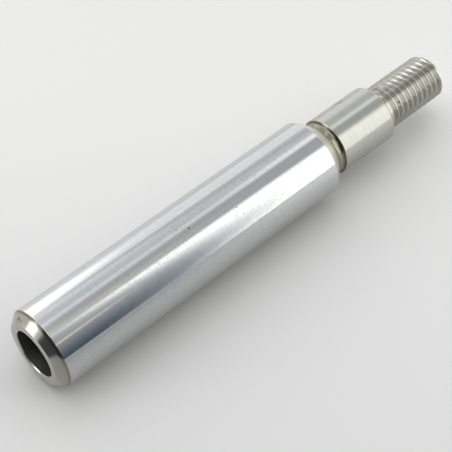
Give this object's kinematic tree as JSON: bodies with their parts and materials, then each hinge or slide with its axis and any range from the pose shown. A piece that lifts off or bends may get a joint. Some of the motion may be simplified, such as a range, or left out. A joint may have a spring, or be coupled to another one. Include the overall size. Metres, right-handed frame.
{
  "type": "turned shaft",
  "caption": "Stepped steel shaft with a hard-chromed body, a blind end bore, a ground journal and a threaded stud.",
  "frame": {"origin": "centre of the flat end face around the bore, which the shaft stands on", "axes": "+Z along the axis of rotation, from the bored end to the tip of the threaded stud; X and Y are equal"},
  "size_m": [0.02, 0.02, 0.1265],
  "materials": {
    "shaft": "hard-chromed and polished body, turned and ground bare steel at both ends"
  },
  "bodies": {
    "root": {"turned_shaft": "shaft"}
  },
  "joints": []
}
